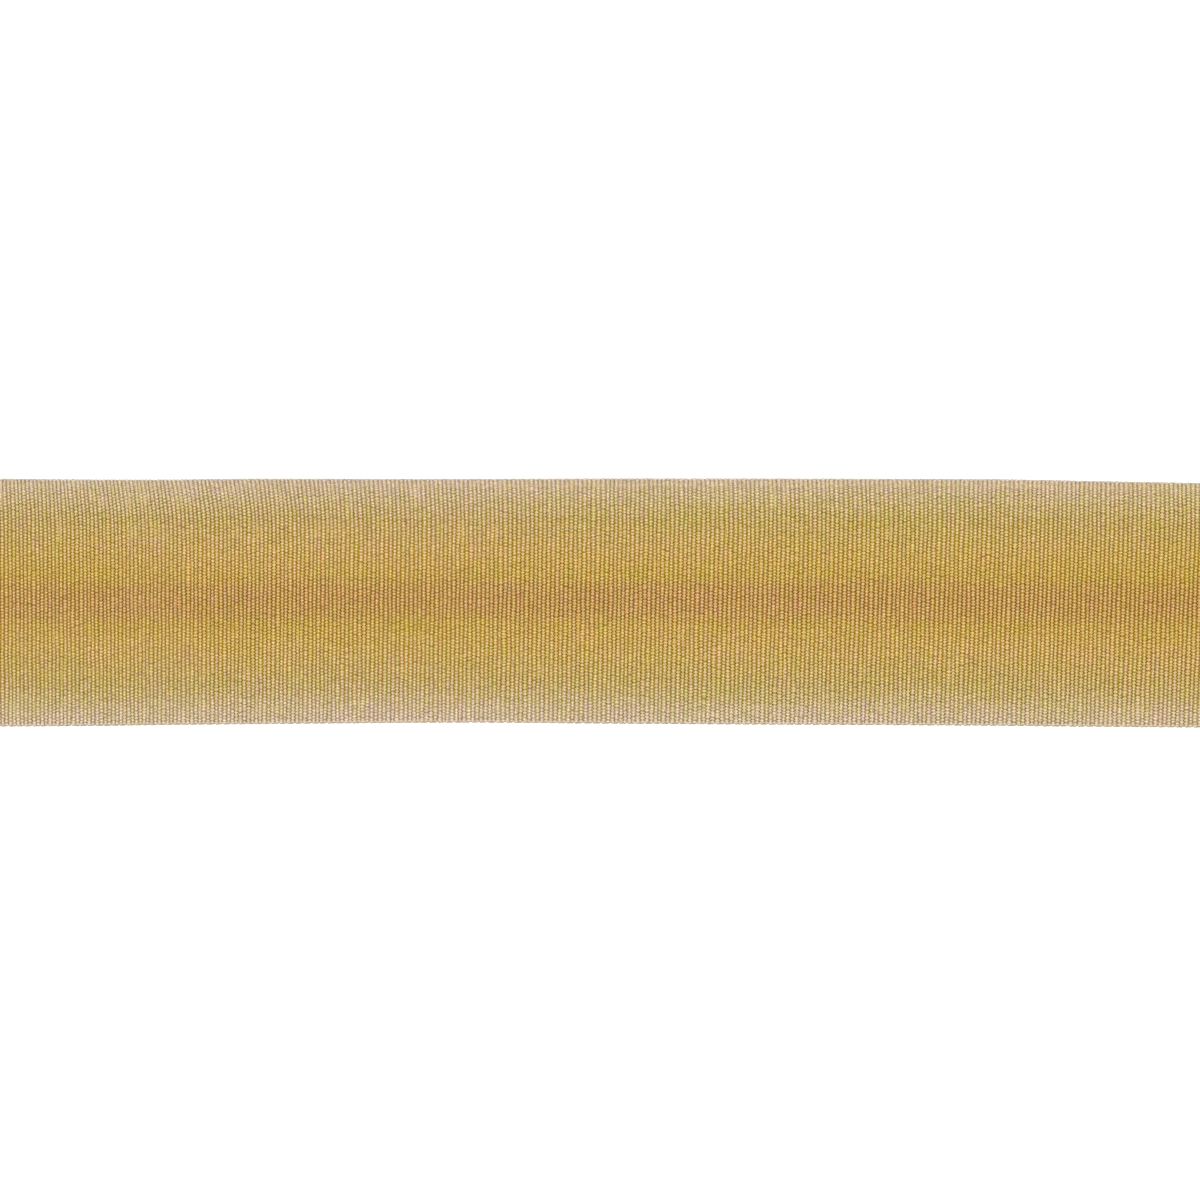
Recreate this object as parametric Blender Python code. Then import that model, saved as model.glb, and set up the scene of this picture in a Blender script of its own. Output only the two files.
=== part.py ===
"""A cut length of ribbed tape trim, lying flat on a surface with its ribs up.

The tape runs along X, its ribs run along Y, and +Z is up. The origin is on the surface, under the middle of
the tape's box. The cloth is woven in one piece with its selvedges, and is cut along a rib at both ends.
"""
import random

import bmesh
import bpy
import numpy as np

MM = 0.001

TAPE_LENGTH = 192.0 * MM
TAPE_WIDTH = 38.0 * MM
TAPE_THICKNESS = 1.0 * MM
RIB_HEIGHT = 0.2 * MM

# How far one rib may be wider or narrower than its neighbours, as a share of its width, and the draw used.
RIB_UNEVENNESS = 0.09
RIB_SEED = 38

# Where a rib has its points, as shares of its width, and how high each one stands, as a share of RIB_HEIGHT.
RIB_PROFILE = ((0.0, 0.0), (0.3, 1.0), (0.7, 1.0))

# Rows of points over the width, as shares of it from the far selvedge. The ribs curl only near that selvedge.
ROW_SHARES = (0.0, 0.09, 0.22, 1.0)

# The share of the width, from the far selvedge, over which the ribs' ends curl.
CURL_SHARE = 0.24

# How the tape lies, in millimetres, with one row for each place along it. far and near are how far the two
# selvedges stand off a straight tape, towards +Y. lean is how far a rib's far end is ahead of its near end,
# curl is how far its far end is pulled back besides, and pitch is the width of one rib.
LAY_COLUMNS = ("place", "far", "near", "lean", "curl", "pitch")
LAY = (
    (-96.0, 0.18, -0.23, -0.15, 0.15, 0.615),
    (-77.5, 0.02, -0.10, -0.15, 0.60, 0.615),
    (-66.0, 0.01, 0.05, 0.00, 0.90, 0.620),
    (-54.0, 0.14, 0.16, 0.25, 0.85, 0.635),
    (-38.0, 0.12, 0.30, 0.45, 0.60, 0.660),
    (-19.0, 0.12, 0.40, 0.55, 0.35, 0.670),
    (0.0, 0.17, 0.26, 0.70, 0.10, 0.680),
    (23.0, 0.17, 0.11, 0.95, 0.30, 0.686),
    (46.5, 0.12, 0.00, 1.15, 0.35, 0.686),
    (62.0, 0.05, -0.09, 1.25, 0.10, 0.686),
    (77.5, -0.25, -0.25, 1.30, 0.20, 0.686),
    (96.0, -0.58, -0.37, 1.30, 0.25, 0.686),
)

GOLD = (0.53, 0.36, 0.11, 1.0)
CLOTH_ROUGHNESS = 0.75


def clear_scene():
    """Starts from an empty scene."""
    for old in list(bpy.data.objects):
        bpy.data.objects.remove(old, do_unlink=True)


def lay_curve(column):
    """A function of the place along the tape: the smooth curve through one column of LAY, all in metres."""
    places = np.array([row[0] for row in LAY]) * MM
    values = np.array([row[LAY_COLUMNS.index(column)] for row in LAY]) * MM
    slopes = np.gradient(values, places)

    def value_at(place):
        last_span = len(places) - 2
        start = int(np.clip(np.searchsorted(places, place) - 1, 0, last_span))
        span = places[start + 1] - places[start]
        t = (place - places[start]) / span
        from_values = values[start] * (1 + 2 * t) * (1 - t) ** 2 + values[start + 1] * t ** 2 * (3 - 2 * t)
        from_slopes = slopes[start] * t * (1 - t) ** 2 - slopes[start + 1] * t ** 2 * (1 - t)
        return from_values + from_slopes * span

    return value_at


far_edge_at = lay_curve("far")
near_edge_at = lay_curve("near")
lean_at = lay_curve("lean")
curl_at = lay_curve("curl")
pitch_at = lay_curve("pitch")


def valley_places():
    """Places of the valleys on both sides of each rib, along the middle of the tape, from end to end."""
    draw = random.Random(RIB_SEED)
    places = [-TAPE_LENGTH / 2]
    while places[-1] < TAPE_LENGTH / 2:
        unevenness = 1 + RIB_UNEVENNESS * draw.uniform(-1, 1)
        places.append(places[-1] + pitch_at(places[-1]) * unevenness)
    stretch = TAPE_LENGTH / (places[-1] - places[0])
    return [(place - places[0]) * stretch - TAPE_LENGTH / 2 for place in places]


def column_stations():
    """The place and the height of each column of points along the tape, from end to end."""
    valleys = valley_places()
    stations = []
    for start, end in zip(valleys[:-1], valleys[1:]):
        for share, rise in RIB_PROFILE:
            stations.append((start + share * (end - start), rise))
    stations.append((valleys[-1], 0.0))
    return stations


def point_on_tape(place, share):
    """X and Y of the point at a place along the middle and a share of the width from the far selvedge."""
    curl = curl_at(place) * max(0.0, 1 - share / CURL_SHARE) ** 2
    x = place + lean_at(place) * (0.5 - share) - curl
    far_y = TAPE_WIDTH / 2 + far_edge_at(place)
    near_y = -TAPE_WIDTH / 2 + near_edge_at(place)
    return x, far_y + (near_y - far_y) * share


def middle_of_box(points):
    """The middle of the box around the points."""
    low = np.min(points, axis=0)
    high = np.max(points, axis=0)
    return (low + high) / 2


def ribbed_face(bm, column, stations):
    """The upper face: a grid of points moved onto the ribs, each marked with the number of its column."""
    columns = len(stations) - 1
    rows = len(ROW_SHARES) - 1
    grid = bmesh.ops.create_grid(bm, x_segments=columns, y_segments=rows, size=1.0)["verts"]
    plan = []
    for vert in grid:
        vert[column] = round((vert.co.x + 1) / 2 * columns)
        row = round((1 - vert.co.y) / 2 * rows)
        plan.append(point_on_tape(stations[vert[column]][0], ROW_SHARES[row]))
    middle_x, middle_y = middle_of_box(plan)
    for vert, (x, y) in zip(grid, plan):
        rise = stations[vert[column]][1]
        vert.co = (x - middle_x, y - middle_y, TAPE_THICKNESS - RIB_HEIGHT * (1 - rise))


def close_underside(bm):
    """Carries the ribbed face down to the surface, which makes a closed solid with a flat underside."""
    region = bmesh.ops.extrude_face_region(bm, geom=bm.faces[:])["geom"]
    underside = {item for item in region if isinstance(item, bmesh.types.BMVert)}
    for vert in underside:
        vert.co.z = 0.0
    return underside


def is_spare(edge, column, underside):
    """Whether an edge of the flat underside or of the side walls stands under no valley between ribs."""
    lower = [vert for vert in edge.verts if vert in underside]
    if not lower:
        return False
    meets_wall = any(not underside.issuperset(face.verts) for face in edge.link_faces)
    if len(lower) == 2 and meets_wall:
        return False
    columns = {vert[column] for vert in lower}
    return len(columns) > 1 or columns.pop() % len(RIB_PROFILE) != 0


def cloth_material():
    """Matt dyed cloth in the tape's mean colour."""
    material = bpy.data.materials.new("dyed_cloth")
    material.use_nodes = True
    shader = material.node_tree.nodes["Principled BSDF"]
    shader.inputs["Base Color"].default_value = GOLD
    shader.inputs["Roughness"].default_value = CLOTH_ROUGHNESS
    shader.inputs["Metallic"].default_value = 0.0
    return material


def make_tape(collection):
    """The tape: one closed solid, ribbed above and flat below."""
    bm = bmesh.new()
    column = bm.verts.layers.int.new("column")
    ribbed_face(bm, column, column_stations())
    underside = close_underside(bm)
    spare = [edge for edge in bm.edges if is_spare(edge, column, underside)]
    bmesh.ops.dissolve_edges(bm, edges=spare, use_verts=True)
    bmesh.ops.recalc_face_normals(bm, faces=bm.faces[:])
    mesh = bpy.data.meshes.new("tape")
    bm.to_mesh(mesh)
    bm.free()
    mesh.materials.append(cloth_material())
    tape = bpy.data.objects.new("tape", mesh)
    collection.objects.link(tape)
    return tape


def main():
    clear_scene()
    collection = bpy.data.collections.new("tape_trim")
    bpy.context.scene.collection.children.link(collection)
    make_tape(collection)


main()
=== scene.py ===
import random

import bpy
import numpy as np
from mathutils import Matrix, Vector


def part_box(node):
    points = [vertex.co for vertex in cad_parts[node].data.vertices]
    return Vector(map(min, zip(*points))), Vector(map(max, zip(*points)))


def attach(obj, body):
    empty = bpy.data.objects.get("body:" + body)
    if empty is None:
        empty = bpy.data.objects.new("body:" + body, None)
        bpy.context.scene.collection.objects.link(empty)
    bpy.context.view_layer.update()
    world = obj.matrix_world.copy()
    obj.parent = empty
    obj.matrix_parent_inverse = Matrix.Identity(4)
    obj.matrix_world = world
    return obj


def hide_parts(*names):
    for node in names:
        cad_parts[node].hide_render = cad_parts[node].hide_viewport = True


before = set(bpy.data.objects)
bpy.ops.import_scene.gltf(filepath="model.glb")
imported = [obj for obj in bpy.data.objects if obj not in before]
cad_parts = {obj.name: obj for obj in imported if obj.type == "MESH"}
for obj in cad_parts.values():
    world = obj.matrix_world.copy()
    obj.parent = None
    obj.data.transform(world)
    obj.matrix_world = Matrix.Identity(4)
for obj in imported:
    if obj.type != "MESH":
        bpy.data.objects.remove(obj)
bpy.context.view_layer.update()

# A ribbed tape trim, woven thread by thread: warp threads along X pass over and under a thick weft along Y.
MM = 0.001

# The tape's outline and ribs, as the solid has them. The ribs curl only near the far selvedge.
TAPE_LENGTH = 192.0 * MM
TAPE_WIDTH = 38.0 * MM
RIB_UNEVENNESS = 0.09
RIB_SEED = 38
ROW_SHARES = (0.0, 0.09, 0.22, 1.0)
CURL_SHARE = 0.24

# How the tape lies, in millimetres, also as the solid has it, with one row for each place along it. far and
# near are how far the two selvedges stand off a straight tape, towards +Y. lean is how far a rib's far end
# is ahead of its near end, curl is how far its far end is pulled back besides, and pitch is a rib's width.
LAY_COLUMNS = ("place", "far", "near", "lean", "curl", "pitch")
LAY = (
    (-96.0, 0.18, -0.23, -0.15, 0.15, 0.615),
    (-77.5, 0.02, -0.10, -0.15, 0.60, 0.615),
    (-66.0, 0.01, 0.05, 0.00, 0.90, 0.620),
    (-54.0, 0.14, 0.16, 0.25, 0.85, 0.635),
    (-38.0, 0.12, 0.30, 0.45, 0.60, 0.660),
    (-19.0, 0.12, 0.40, 0.55, 0.35, 0.670),
    (0.0, 0.17, 0.26, 0.70, 0.10, 0.680),
    (23.0, 0.17, 0.11, 0.95, 0.30, 0.686),
    (46.5, 0.12, 0.00, 1.15, 0.35, 0.686),
    (62.0, 0.05, -0.09, 1.25, 0.10, 0.686),
    (77.5, -0.25, -0.25, 1.30, 0.20, 0.686),
    (96.0, -0.58, -0.37, 1.30, 0.25, 0.686),
)

# Warp threads. In the far selvedge they lie closer and are finer, and from there they grow to their usual
# spacing. At both edges the outermost two lie closest. Near the near edge the next thread keeps at least
# LEAST_GAP away from them, a share of the spacing.
WARP_SPACING = 0.2405 * MM
WARP_THICKNESS = 0.18 * MM
WARP_SEED = 5
EDGE_MARGIN = 0.281 * MM
EDGE_CLOSENESS = 0.25
LEAST_GAP = 0.5
FINE_MARGIN = 0.105 * MM
FINE_SPACING = 0.125 * MM
FINE_COUNT = 9
GROWING_COUNT = 6

# How wide a thread is where it floats over a rib or dips under it, and where it crosses between ribs, as
# shares of the spacing. Only every second thread floats over a rib, so a float spreads over its neighbours.
FLOAT_WIDTH = 2.90
CROSSING_WIDTH = 1.20

# How uneven the threads are, and how far their cut ends stick out. They lie calmer close to the edges.
WIDTH_SPREAD = 0.07
RISE_SPREAD = 0.010 * MM
RIB_RISE_SPREAD = 0.012 * MM
SIDE_SPREAD = 0.032 * MM
CALM_MARGIN = 1.0 * MM
CALM_SHARE = 0.2
CUT_END_SPREAD = 0.30 * MM

# How far the valleys between ribs stray from their lines, in how many even steps over the width.
VALLEY_STRAY = 0.052 * MM
STRAY_STEPS = 14
STRAY_SEED = 11

# Where a float has its two shoulders and a dip its one lowest point, as shares of the rib.
SHOULDER_SHARES = (0.39, 0.61)
DIP_SHARE = 0.5

# Weft: one thick thread. At each selvedge it turns back under the outermost warp, thinner and lower.
WEFT_WIDTH = 0.44 * MM
WEFT_HEIGHT = 0.62 * MM
WEFT_SIDES = 6
WEFT_SPANS = 7
WEFT_YARN = -1.0
TURN_MARGIN = 0.13 * MM
TURN_REACH = 0.06 * MM
TURN_DROP = 0.16 * MM
TURN_SCALE = 0.5
TURN_ANGLES = (45.0, 90.0, 135.0)

# How far the colour goes from the crown's to the valley's, which is painted shade: at a thread's flanks and
# on the weft, and where a warp thread crosses between ribs or faces the weft.
FLANK_DEPTH = 0.50
CROSSING_DEPTH = 1.0

# The warp is dyed in bands, told by their borders as shares of the width from the nearer selvedge.
BAND_BORDERS = {"pale": 0.10, "olive": 0.20, "outer_gold": 0.30, "inner_gold": 0.40, "rust": 0.50}

# Into how many runs a thread is cut where its surface is laid out flat.
WARP_MAP_RUNS = 4
WEFT_MAP_RUNS = 60


def lay_curve(column):
    """A function of places along the tape: the smooth curve through one column of LAY, all in metres."""
    rows = np.array([row[0] for row in LAY]) * MM
    values = np.array([row[LAY_COLUMNS.index(column)] for row in LAY]) * MM
    slopes = np.gradient(values, rows)

    def value_at(place):
        start = np.clip(np.searchsorted(rows, place) - 1, 0, len(rows) - 2)
        span = rows[start + 1] - rows[start]
        t = (place - rows[start]) / span
        from_values = values[start] * (1 + 2 * t) * (1 - t) ** 2 + values[start + 1] * t ** 2 * (3 - 2 * t)
        from_slopes = slopes[start] * t * (1 - t) ** 2 - slopes[start + 1] * t ** 2 * (1 - t)
        return from_values + from_slopes * span

    return value_at


far_edge_at = lay_curve("far")
near_edge_at = lay_curve("near")
lean_at = lay_curve("lean")
curl_at = lay_curve("curl")
pitch_at = lay_curve("pitch")


def valley_places():
    """Places of the valleys on both sides of each rib, along the middle of the tape, from end to end."""
    draw = random.Random(RIB_SEED)
    places = [-TAPE_LENGTH / 2]
    while places[-1] < TAPE_LENGTH / 2:
        unevenness = 1 + RIB_UNEVENNESS * draw.uniform(-1, 1)
        places.append(places[-1] + pitch_at(places[-1]) * unevenness)
    stretch = TAPE_LENGTH / (places[-1] - places[0])
    return np.array([(place - places[0]) * stretch - TAPE_LENGTH / 2 for place in places])


def tape_plan(place, share):
    """X and Y at places along the middle and shares of the width from the far selvedge, before centring."""
    curl = curl_at(place) * np.maximum(0.0, 1 - share / CURL_SHARE) ** 2
    x = place + lean_at(place) * (0.5 - share) - curl
    far_y = TAPE_WIDTH / 2 + far_edge_at(place)
    near_y = -TAPE_WIDTH / 2 + near_edge_at(place)
    return np.stack([x, far_y + (near_y - far_y) * share], axis=-1)


def valley_strays():
    """How far each valley strays from its line, at even steps over the width. Both cut ends are straight."""
    draw = np.random.default_rng(STRAY_SEED)
    strays = draw.normal(0, VALLEY_STRAY, (len(VALLEYS), STRAY_STEPS + 1))
    strays[[0, -1]] = 0.0
    return strays


def between(table, row, column):
    """Values of a table at rows and columns that aren't whole numbers, evenly between the nearest four."""
    row, column = np.broadcast_arrays(row, column)
    row = np.clip(row, 0, table.shape[0] - 1)
    column = np.clip(column, 0, table.shape[1] - 1)
    top = np.minimum(row.astype(int), table.shape[0] - 2)
    left = np.minimum(column.astype(int), table.shape[1] - 2)
    down, right = row - top, column - left
    upper = table[top, left] * (1 - right) + table[top, left + 1] * right
    lower = table[top + 1, left] * (1 - right) + table[top + 1, left + 1] * right
    return upper * (1 - down) + lower * down


VALLEYS = valley_places()
STRAYS = valley_strays()
OUTLINE = tape_plan(VALLEYS[:, None], np.array(ROW_SHARES)[None, :]).reshape(-1, 2)
MIDDLE = (OUTLINE.min(axis=0) + OUTLINE.max(axis=0)) / 2
TAPE_LOW, TAPE_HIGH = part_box("tape")
MID_HEIGHT = (TAPE_LOW.z + TAPE_HIGH.z) / 2
CREST_RISE = (TAPE_HIGH.z - TAPE_LOW.z) / 2 - WARP_THICKNESS / 2


def tubes(name, rings, attributes, runs, material):
    """One piece made of closed tubes, one for each thread, given the points round each at each station."""
    threads, stations, sides, _ = rings.shape
    number = np.arange(threads * stations * sides).reshape(threads, stations, sides)
    here, ahead = number[:, :-1], number[:, 1:]
    corners = [here, np.roll(here, -1, axis=2), np.roll(ahead, -1, axis=2), ahead]
    walls = np.stack(corners, axis=-1).reshape(-1, 4)
    points = rings.reshape(-1, 3)
    diagonals = np.linalg.norm(points[walls[:, :2]] - points[walls[:, 2:]], axis=2)
    turned = diagonals[:, 1] < diagonals[:, 0]
    walls = turn_corners(walls, turned[:, None])
    caps = np.concatenate([number[:, 0, ::-1], number[:, -1]])
    mesh = smooth_mesh(name, points, walls, caps)
    for key, values in attributes.items():
        layer = mesh.attributes.new(key, "FLOAT", "POINT")
        layer.data.foreach_set("value", np.broadcast_to(values, number.shape).astype(np.float32).ravel())
    unrolled = unroll(threads, stations, sides, runs, turned)
    mesh.uv_layers.new(name="OFBake").uv.foreach_set("vector", unrolled.astype(np.float32).ravel())
    mesh.materials.append(material)
    piece = bpy.data.objects.new(name, mesh)
    bpy.context.scene.collection.objects.link(piece)
    return piece


def turn_corners(walls, turned):
    """Each wall's corners, starting one corner on where that folds the wall along its shorter diagonal."""
    return np.where(turned, np.roll(walls, -1, axis=1), walls)


def smooth_mesh(name, points, walls, caps):
    """A smooth mesh of walls with four corners each, and then of caps, each with a corner for each side."""
    corners = np.concatenate([walls.ravel(), caps.ravel()])
    counts = np.concatenate([np.full(len(walls), walls.shape[1]), np.full(len(caps), caps.shape[1])])
    starts = np.concatenate([[0], np.cumsum(counts)[:-1]])
    mesh = bpy.data.meshes.new(name)
    mesh.vertices.add(len(points))
    mesh.vertices.foreach_set("co", points.astype(np.float32).ravel())
    mesh.loops.add(len(corners))
    mesh.loops.foreach_set("vertex_index", corners.astype(np.int32))
    mesh.polygons.add(len(counts))
    mesh.polygons.foreach_set("loop_start", starts.astype(np.int32))
    mesh.polygons.foreach_set("loop_total", counts.astype(np.int32))
    mesh.update(calc_edges=True)
    mesh.shade_smooth()
    return mesh


def unroll(threads, stations, sides, runs, turned):
    """A flat map of the tubes: each thread in a few runs, one above the other, and the ends on top."""
    per_run = int(np.ceil((stations - 1) / runs))
    strips = threads * runs * sides
    top = strips / (strips + sides)
    thread, step, side = np.indices((threads, stations - 1, sides))
    u = (step % per_run) / per_run
    v = ((thread * runs + step // per_run) * sides + side) * top / strips
    across, along = top / strips, 1 / per_run
    corners = [(u, v), (u, v + across), (u + along, v + across), (u + along, v)]
    walls = np.stack([np.stack(corner, axis=-1) for corner in corners], axis=-2).reshape(-1, 4, 2)
    walls = turn_corners(walls, turned[:, None, None])
    turn = np.arange(sides) * 2 * np.pi / sides
    end = np.arange(2 * threads)[:, None]
    cap_u = (end + 0.5 + 0.5 * np.cos(turn)) / (2 * threads)
    cap_v = top + (1 - top) * (0.5 + 0.5 * np.sin(turn)) + 0 * end
    caps = np.stack([cap_u, cap_v], axis=-1)
    return np.concatenate([walls.reshape(-1, 2), caps.reshape(-1, 2)])


def warp_layout():
    """For each warp thread from the far selvedge to the near one, its share of the width and its spacing."""
    places = [FINE_MARGIN, FINE_MARGIN + EDGE_CLOSENESS * FINE_SPACING]
    spacings = [FINE_SPACING] * 2
    last = TAPE_WIDTH - EDGE_MARGIN - EDGE_CLOSENESS * WARP_SPACING
    while places[-1] + (1 + LEAST_GAP) * WARP_SPACING < last:
        growth = np.clip((len(places) - FINE_COUNT) / GROWING_COUNT, 0.0, 1.0)
        spacings.append(FINE_SPACING + growth * (WARP_SPACING - FINE_SPACING))
        places.append(places[-1] + spacings[-1])
    places += [last, TAPE_WIDTH - EDGE_MARGIN]
    spacings += [WARP_SPACING] * 2
    return np.array(places) / TAPE_WIDTH, np.array(spacings)


def warp_stations(first_over):
    """Stations of a warp thread that floats over every second rib: place, level from -1 to 1, and rib."""
    stations = []
    for rib, (start, end) in enumerate(zip(VALLEYS[:-1], VALLEYS[1:])):
        stations.append((start, 0.0, rib))
        if rib % 2 == first_over:
            stations += [(start + share * (end - start), 1.0, rib + share) for share in SHOULDER_SHARES]
        else:
            stations.append((start + DIP_SHARE * (end - start), -1.0, rib + DIP_SHARE))
    stations.append((VALLEYS[-1], 0.0, len(VALLEYS) - 1))
    return np.array(stations).T


def warp_rings(numbers, first_over, rib_sinks, draw):
    """The points round some warp threads, with what the dye and its painted shade need to know of each point.
    """
    place, level, rib = warp_stations(first_over)
    threads, stations = len(numbers), len(place)
    share = WARP_SHARES[numbers][:, None] + 0 * place
    spacing = WARP_SPACINGS[numbers][:, None]
    place = place + 0 * share
    place[:, 0] -= draw.random(threads) * CUT_END_SPREAD
    place[:, -1] += draw.random(threads) * CUT_END_SPREAD
    spread = 1 + WIDTH_SPREAD * draw.uniform(-1, 1, (threads, stations))
    half_width = spacing * np.where(level == 0, CROSSING_WIDTH, FLOAT_WIDTH * spread) / 2
    on_tape = np.clip(place, VALLEYS[0], VALLEYS[-1])
    plan = tape_plan(on_tape, share) - MIDDLE
    plan[:, :, 0] += place - on_tape + between(STRAYS, rib, share * STRAY_STEPS)
    from_edge = np.minimum(share, 1 - share) * TAPE_WIDTH
    calm = np.clip(from_edge / CALM_MARGIN, CALM_SHARE, 1.0) * spacing / WARP_SPACING
    sides = draw.normal(0, SIDE_SPREAD, (threads, len(VALLEYS)))
    plan[:, :, 1] += between(sides, np.arange(threads)[:, None], rib - 0.5) * calm
    sink = np.abs(draw.normal(0, RISE_SPREAD, (threads, stations))) + rib_sinks[rib.astype(int)]
    height = MID_HEIGHT + level * (CREST_RISE - sink)
    centre = np.concatenate([plan, height[:, :, None]], axis=2)
    ahead = np.gradient(centre, axis=1)
    upwards = np.stack([-ahead[:, :, 2], 0 * height, ahead[:, :, 0]], axis=-1)
    upwards *= WARP_THICKNESS / 2 / np.linalg.norm(upwards, axis=-1, keepdims=True)
    sideways = np.array([0.0, 1.0, 0.0]) * half_width[:, :, None]
    rings = np.stack([centre + sideways, centre + upwards, centre - sideways, centre - upwards], axis=2)
    yarn = numbers[:, None, None]
    depth = warp_depth(level)[None]
    return rings, {"share": share[:, :, None], "rib": rib[None, :, None], "yarn": yarn, "depth": depth}


def warp_depth(level):
    """How much painted shade, towards the valley's colour, at each station and on each of a thread's four
    sides.
    """
    depth = np.zeros((len(level), 4))
    depth[:, 0::2] = FLANK_DEPTH
    depth[level == 0] = CROSSING_DEPTH
    depth[level < 0, 1] = CROSSING_DEPTH
    depth[level > 0, 3] = CROSSING_DEPTH
    return depth


def weft_stations():
    """Stations of the weft, back and forth along the ribs: place, share, rib, and turn from 0 to 1."""
    middles = (VALLEYS[:-1] + VALLEYS[1:]) / 2
    margin = TURN_MARGIN / TAPE_WIDTH
    shares = np.linspace(margin, 1 - margin, WEFT_SPANS + 1)
    stations = []
    for rib, middle in enumerate(middles):
        far_to_near = rib % 2 == 1
        stations += [(middle, share, rib + 0.5, 0.0) for share in (shares if far_to_near else shares[::-1])]
        if rib + 1 < len(middles):
            radius = (middles[rib + 1] - middle) / 2
            for angle in np.radians(TURN_ANGLES):
                turned = np.sin(angle)
                inside = margin - turned * TURN_REACH / TAPE_WIDTH
                place = middle + radius * (1 - np.cos(angle))
                stations.append((place, 1 - inside if far_to_near else inside, rib + 1.0, turned))
    return np.array(stations).T


def weft_rings():
    """The points round the weft, with what the dye and its painted shade need to know of each point."""
    place, share, rib, turned = weft_stations()
    scale = 1 - (1 - TURN_SCALE) * np.sqrt(turned)
    plan = tape_plan(place, share) - MIDDLE
    plan[:, 0] += between(STRAYS, rib, share * STRAY_STEPS)
    centre = np.column_stack([plan, MID_HEIGHT - TURN_DROP * turned])
    ahead = np.gradient(plan, axis=0)
    sideways = np.column_stack([-ahead[:, 1], ahead[:, 0], np.zeros(len(plan))])
    sideways *= (WEFT_WIDTH / 2 * scale / np.linalg.norm(sideways, axis=1))[:, None]
    upwards = np.array([0.0, 0.0, WEFT_HEIGHT / 2]) * scale[:, None]
    turn = (np.arange(WEFT_SIDES) * 2 * np.pi / WEFT_SIDES)[:, None]
    rings = centre[:, None] + sideways[:, None] * np.cos(turn) + upwards[:, None] * np.sin(turn)
    at_station = {"share": share[None, :, None], "rib": rib[None, :, None]}
    # The weft, deep in the weave, gets painted shade half way to the valley's colour.
    return rings[None], {**at_station, "yarn": WEFT_YARN, "depth": FLANK_DEPTH}


# The dye, from the selvedges to the middle of the stripe. Each place is a share of the width from the nearer
# selvedge. The crown is the dye's colour on top of a rib, and the valley is that colour with painted shade,
# darker, down between two ribs.
DYE_AND_SHADE_COLUMNS = ("name", "place", "crown", "valley")
DYE_AND_SHADE = (
    ("bleached edge", 0.000, (0.620, 0.506, 0.371), (0.643, 0.488, 0.267)),
    ("pale beige", 0.045, (0.596, 0.489, 0.327), (0.649, 0.471, 0.231)),
    ("straw", 0.110, (0.582, 0.467, 0.262), (0.582, 0.402, 0.078)),
    ("olive", 0.175, (0.567, 0.445, 0.210), (0.550, 0.351, 0.023)),
    ("gold", 0.300, (0.590, 0.439, 0.188), (0.602, 0.354, 0.010)),
    ("amber", 0.400, (0.564, 0.416, 0.145), (0.574, 0.332, 0.004)),
    ("tan", 0.445, (0.561, 0.396, 0.161), (0.523, 0.252, 0.003)),
    ("rust", 0.500, (0.567, 0.384, 0.162), (0.502, 0.228, 0.003)),
)

# The middle of the rust stripe, as a share of the width. The dye strays from its place by up to STRAY_REACH,
# also a share, and its strayings have so many changes to one rib, and so many over the width.
STRIPE_MIDDLE = 0.494
STRAY_REACH = 0.012
STRAY_ALONG = 0.04
STRAY_ACROSS = 60.0

# How far in from each edge the outermost threads are greyer and darker, a painted shade where they turn down,
# as a share of the width, and that shade's tint.
# Over STEADY_REACH the dye's unevenness grows from a share of its full strength, at the edge, to all of it.
EDGE_SHADE_REACH = 0.020
EDGE_SHADE_TINT = (0.87, 0.91, 1.04, 1.0)
STEADY_REACH = 0.10
STEADY_SHARE = 0.45

# Towards the end at +X the dye turns yellower: from which share of the ribs on, and the tint at that end.
YELLOWED_FROM = 0.78
YELLOWED_TINT = (0.99, 0.985, 0.88, 1.0)

# Uneven dye: how many changes there are to one rib, how many over the width, and the tints that multiply the
# colour where the dye took least and most.
UNEVENNESS = {
    "thread streaks": (0.06, 120.0, (1.025, 1.025, 1.17), (0.975, 0.975, 0.84)),
    "tinted ribs": (0.90, 9.0, (1.03, 0.965, 1.20), (0.97, 1.035, 0.82)),
    "worn ribs": (0.45, 14.0, (1.025, 1.03, 1.11), (0.975, 0.97, 0.90)),
    "broad patches": (0.015, 2.0, (1.015, 1.00, 1.10), (0.985, 1.00, 0.90)),
}
FLOAT_LIGHTNESS = (0.96, 1.04)

# The threads' fibres, as lines along X: how many to a metre along and across, and how high they stand.
FIBRES_ALONG = 4500.0
FIBRES_ACROSS = 5200.0
FIBRE_HEIGHT = 0.012 * MM
# How far the fibres darken and lighten the colour: partly their own uneven tone, partly painted glints.
FIBRE_TONE_AND_GLINTS = (0.58, 1.42)
FLOAT_ROUGHNESS = 0.42
VALLEY_ROUGHNESS = 0.90
FIBRE_ROUGHNESS = 0.08
CLOTH_SPECULAR = 0.20

# A noise seldom leaves the range from NOISE_LOW to NOISE_HIGH. Its layers lie LAYER_STEP apart in it, so that
# no two drifts are alike.
NOISE_LOW = 0.3
NOISE_HIGH = 0.7
LAYER_STEP = 9.0

# The mix node's sockets for colours: the factor and both colours that go in, and the one that comes out.
MIX_INPUTS = (0, 6, 7)
MIX_OUTPUT = 2

WHITE = (1.0, 1.0, 1.0, 1.0)


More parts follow.
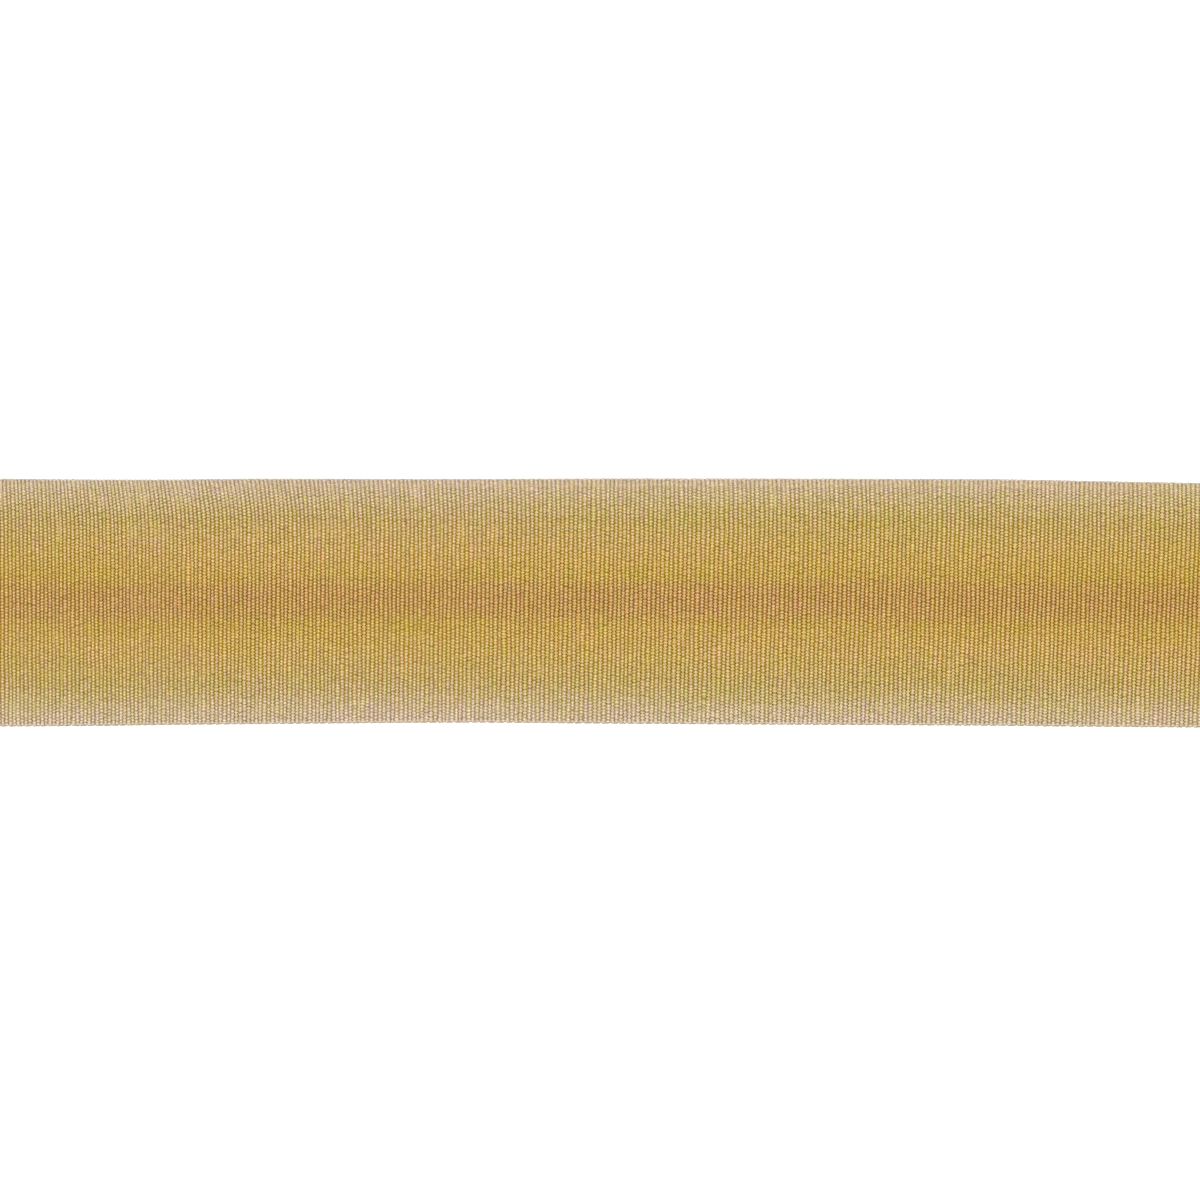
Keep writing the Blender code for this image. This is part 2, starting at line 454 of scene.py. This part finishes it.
class Nodes:
    """Short calls for building one material's nodes."""

    def __init__(self, name):
        self.material = bpy.data.materials.new(name)
        self.material.use_nodes = True
        self.tree = self.material.node_tree
        self.shader = self.tree.nodes["Principled BSDF"]

    def add(self, kind, inputs=(), **settings):
        """A node with its settings, and its inputs set to numbers or linked to other nodes' outputs."""
        node = self.tree.nodes.new(kind)
        for key, value in settings.items():
            setattr(node, key, value)
        for key, value in dict(inputs).items():
            self.feed(node.inputs[key], value)
        return node

    def feed(self, socket, value):
        if isinstance(value, bpy.types.NodeSocket):
            self.tree.links.new(value, socket)
        else:
            socket.default_value = value

    def attribute(self, name):
        return self.add("ShaderNodeAttribute", attribute_name=name).outputs["Fac"]

    def maths(self, operation, first, second=0.0):
        node = self.add("ShaderNodeMath", operation=operation)
        for socket, value in zip(node.inputs, (first, second)):
            self.feed(socket, value)
        return node.outputs["Value"]

    def vector(self, x, y, z=0.0):
        return self.add("ShaderNodeCombineXYZ", {"X": x, "Y": y, "Z": z}).outputs["Vector"]

    def noise(self, vector):
        return self.add("ShaderNodeTexNoise", {"Vector": vector, "Scale": 1.0}).outputs["Fac"]

    def remap(self, value, low, high, to_low, to_high):
        settings = {"Value": value, "From Min": low, "From Max": high, "To Min": to_low, "To Max": to_high}
        return self.add("ShaderNodeMapRange", settings).outputs["Result"]

    def stretch(self, noise, low, high):
        """A noise with its usual range stretched to reach from low to high."""
        return self.remap(noise, NOISE_LOW, NOISE_HIGH, low, high)

    def drift(self, rib, share, along, across, low, high, layer=0):
        """A number that wanders between low and high, along the ribs' order and over the width."""
        x = self.maths("MULTIPLY", rib, along)
        y = self.maths("MULTIPLY", share, across)
        return self.stretch(self.noise(self.vector(x, y, layer * LAYER_STEP)), low, high)

    def lighten(self, colour, factor):
        inputs = {"Vector": colour, "Scale": factor}
        return self.add("ShaderNodeVectorMath", inputs, operation="SCALE").outputs["Vector"]

    def mix(self, factor, first, second, blend="MIX"):
        node = self.add("ShaderNodeMix", data_type="RGBA", blend_type=blend)
        for socket, value in zip(MIX_INPUTS, (factor, first, second)):
            self.feed(node.inputs[socket], value)
        return node.outputs[MIX_OUTPUT]


def dye_and_shade_ramp(nodes, place, column):
    """The colour at a place between a selvedge and the middle, from the dye table's crown or painted-shade
    valley column.
    """
    middle = DYE_AND_SHADE[-1][DYE_AND_SHADE_COLUMNS.index("place")]
    ramp = nodes.add("ShaderNodeValToRGB", {"Fac": nodes.maths("DIVIDE", place, middle)})
    stops = ramp.color_ramp.elements
    while len(stops) < len(DYE_AND_SHADE):
        stops.new(0.5)
    for stop, row in zip(stops, DYE_AND_SHADE):
        stop.position = row[DYE_AND_SHADE_COLUMNS.index("place")] / middle
        stop.color = (*row[DYE_AND_SHADE_COLUMNS.index(column)], 1.0)
    return ramp.outputs["Color"]


def dye_and_shade_colour(nodes, share, rib, depth):
    """The dye's colour by the place over the width, mixed from the crown's towards the valley's painted
    shade.
    """
    stray = nodes.drift(rib, share, STRAY_ALONG, STRAY_ACROSS, -STRAY_REACH, STRAY_REACH)
    off_middle = nodes.maths("SUBTRACT", nodes.maths("ADD", share, stray), STRIPE_MIDDLE)
    place = nodes.maths("SUBTRACT", 0.5, nodes.maths("ABSOLUTE", off_middle))
    return nodes.mix(depth, dye_and_shade_ramp(nodes, place, "crown"), dye_and_shade_ramp(nodes, place, "valley"))


def uneven_colour(nodes, colour, share, rib, yarn):
    """The colour with painted shade greying both edges, yellowed at one end, and uneven along and across the
    tape.
    """
    from_edge = nodes.maths("SUBTRACT", 0.5, nodes.maths("ABSOLUTE", nodes.maths("SUBTRACT", share, 0.5)))
    # Painted shade: the outermost threads greyer and darker where they turn down at the selvedges.
    edge_shade = nodes.remap(from_edge, 0.0, EDGE_SHADE_REACH, 1.0, 0.0)
    colour = nodes.mix(edge_shade, colour, EDGE_SHADE_TINT, "MULTIPLY")
    yellowed = nodes.remap(rib, YELLOWED_FROM * len(VALLEYS), len(VALLEYS), 0.0, 1.0)
    colour = nodes.mix(yellowed, colour, YELLOWED_TINT, "MULTIPLY")
    strength = nodes.remap(from_edge, 0.0, STEADY_REACH, STEADY_SHARE, 1.0)
    for layer, (along, across, least, most) in enumerate(UNEVENNESS.values(), start=1):
        took = nodes.drift(rib, share, along, across, 0.0, 1.0, layer)
        tint = nodes.mix(took, (*least, 1.0), (*most, 1.0))
        colour = nodes.mix(strength, colour, tint, "MULTIPLY")
    one_float = nodes.vector(nodes.maths("FLOOR", rib), yarn)
    dice = nodes.add("ShaderNodeTexWhiteNoise", {"Vector": one_float}).outputs["Value"]
    return nodes.lighten(colour, nodes.remap(dice, 0.0, 1.0, *FLOAT_LIGHTNESS))


def cloth_material(name):
    """Dyed thread: bands over the width, uneven dye, painted shade in the duller valleys, and fine fibres
    with painted glints.
    """
    nodes = Nodes(name)
    share = nodes.attribute("share")
    rib = nodes.attribute("rib")
    depth = nodes.attribute("depth")
    colour = dye_and_shade_colour(nodes, share, rib, depth)
    colour = uneven_colour(nodes, colour, share, rib, nodes.attribute("yarn"))
    where = nodes.add("ShaderNodeTexCoord").outputs["Object"]
    fineness = (FIBRES_ALONG, FIBRES_ACROSS, FIBRES_ACROSS)
    stretched = nodes.add("ShaderNodeMapping", {"Vector": where, "Scale": fineness}).outputs["Vector"]
    fibres = nodes.noise(stretched)
    # The fibres' lightness: partly their own uneven tone, partly painted glints off single strands.
    colour = nodes.lighten(colour, nodes.stretch(fibres, *FIBRE_TONE_AND_GLINTS))
    grain = nodes.stretch(fibres, -FIBRE_ROUGHNESS, FIBRE_ROUGHNESS)
    dullness = nodes.remap(depth, 0.0, 1.0, FLOAT_ROUGHNESS, VALLEY_ROUGHNESS)
    bump = nodes.add("ShaderNodeBump", {"Height": fibres, "Distance": FIBRE_HEIGHT}).outputs["Normal"]
    nodes.feed(nodes.shader.inputs["Base Color"], colour)
    nodes.feed(nodes.shader.inputs["Roughness"], nodes.maths("ADD", dullness, grain))
    nodes.feed(nodes.shader.inputs["Normal"], bump)
    nodes.feed(nodes.shader.inputs["Specular IOR Level"], CLOTH_SPECULAR)
    return nodes.material


def band_of(share):
    """The name of the dye band at a share of the width."""
    from_edge = min(share, 1 - share)
    return next(name for name, border in BAND_BORDERS.items() if from_edge <= border)


WARP_SHARES, WARP_SPACINGS = warp_layout()


def make_warp(material):
    """The warp: two pieces for each dye band, one with its even threads and one with its odd ones."""
    draw = np.random.default_rng(WARP_SEED)
    rib_sinks = np.abs(draw.normal(0, RIB_RISE_SPREAD, len(VALLEYS)))
    pieces = []
    for band in BAND_BORDERS:
        numbers = np.array([number for number, share in enumerate(WARP_SHARES) if band_of(share) == band])
        for parity, side in enumerate(("even", "odd")):
            rings, attributes = warp_rings(numbers[numbers % 2 == parity], parity, rib_sinks, draw)
            pieces.append(tubes(f"warp_{band}_{side}", rings, attributes, WARP_MAP_RUNS, material))
    return pieces


def make_weft(material):
    """The weft, in one piece from end to end."""
    rings, attributes = weft_rings()
    return tubes("weft", rings, attributes, WEFT_MAP_RUNS, material)


# The photograph's frame, and how the tape lies in it: its width, and the row of a straight tape's middle.
FRAME_PIXELS = 1200
TAPE_PIXELS = 245.3
TAPE_MIDDLE_ROW = 602.5
CAMERA_HEIGHT = 1.2
SENSOR_WIDTH = 36.0

# The white floor, which glows a little, and the lamps that stand to both sides of the camera.
FLOOR_SIZE = 4.0
FLOOR_COLOUR = (0.9, 0.9, 0.9, 1.0)
FLOOR_ROUGHNESS = 1.0
FLOOR_GLOW = 0.25
WORLD_STRENGTH = 0.40
LAMP_POWER = 8.0
LAMP_SIZE = 0.9
LAMP_HEIGHT = 1.0
LAMP_OFFSET = 0.45


def make_floor():
    """A plain white floor under the tape."""
    bpy.ops.mesh.primitive_plane_add(size=FLOOR_SIZE)
    floor = bpy.context.object
    floor.name = "floor"
    nodes = Nodes("floor_white")
    nodes.feed(nodes.shader.inputs["Base Color"], FLOOR_COLOUR)
    nodes.feed(nodes.shader.inputs["Roughness"], FLOOR_ROUGHNESS)
    nodes.feed(nodes.shader.inputs["Emission Color"], WHITE)
    nodes.feed(nodes.shader.inputs["Emission Strength"], FLOOR_GLOW)
    floor.data.materials.append(nodes.material)


def make_lights():
    """Two soft boxes, one each side of the camera, and an even white surround."""
    for side in (-1, 1):
        lamp = bpy.data.lights.new(f"softbox_{side}", "AREA")
        lamp.shape = "SQUARE"
        lamp.size = LAMP_SIZE
        lamp.energy = LAMP_POWER
        light = bpy.data.objects.new(lamp.name, lamp)
        light.location = (side * LAMP_OFFSET, 0.0, LAMP_HEIGHT)
        light.rotation_euler = (0.0, side * np.arctan2(LAMP_OFFSET, LAMP_HEIGHT), 0.0)
        bpy.context.scene.collection.objects.link(light)
    world = bpy.data.worlds.new("surround")
    world.use_nodes = True
    background = world.node_tree.nodes["Background"]
    background.inputs["Color"].default_value = WHITE
    background.inputs["Strength"].default_value = WORLD_STRENGTH
    bpy.context.scene.world = world


def make_camera():
    """Straight above the tape, with the photograph's frame around it."""
    scale = TAPE_WIDTH / TAPE_PIXELS
    data = bpy.data.cameras.new("camera")
    data.sensor_width = SENSOR_WIDTH
    data.lens = SENSOR_WIDTH * (CAMERA_HEIGHT - TAPE_HIGH.z) / (FRAME_PIXELS * scale)
    camera = bpy.data.objects.new("camera", data)
    rise = (TAPE_MIDDLE_ROW - FRAME_PIXELS / 2) * scale
    camera.location = (-MIDDLE[0], rise - MIDDLE[1], CAMERA_HEIGHT)
    bpy.context.scene.collection.objects.link(camera)
    bpy.context.scene.camera = camera


def main():
    """The picture's stage, and on it the tape."""
    make_camera()
    make_floor()
    make_lights()
    bpy.context.scene.view_settings.view_transform = "Standard"
    dyed = cloth_material("dyed_cloth")
    weft = make_weft(dyed)
    warp = make_warp(dyed)
    for piece in (weft, *warp):
        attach(piece, "root")
        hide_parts("tape")


main()
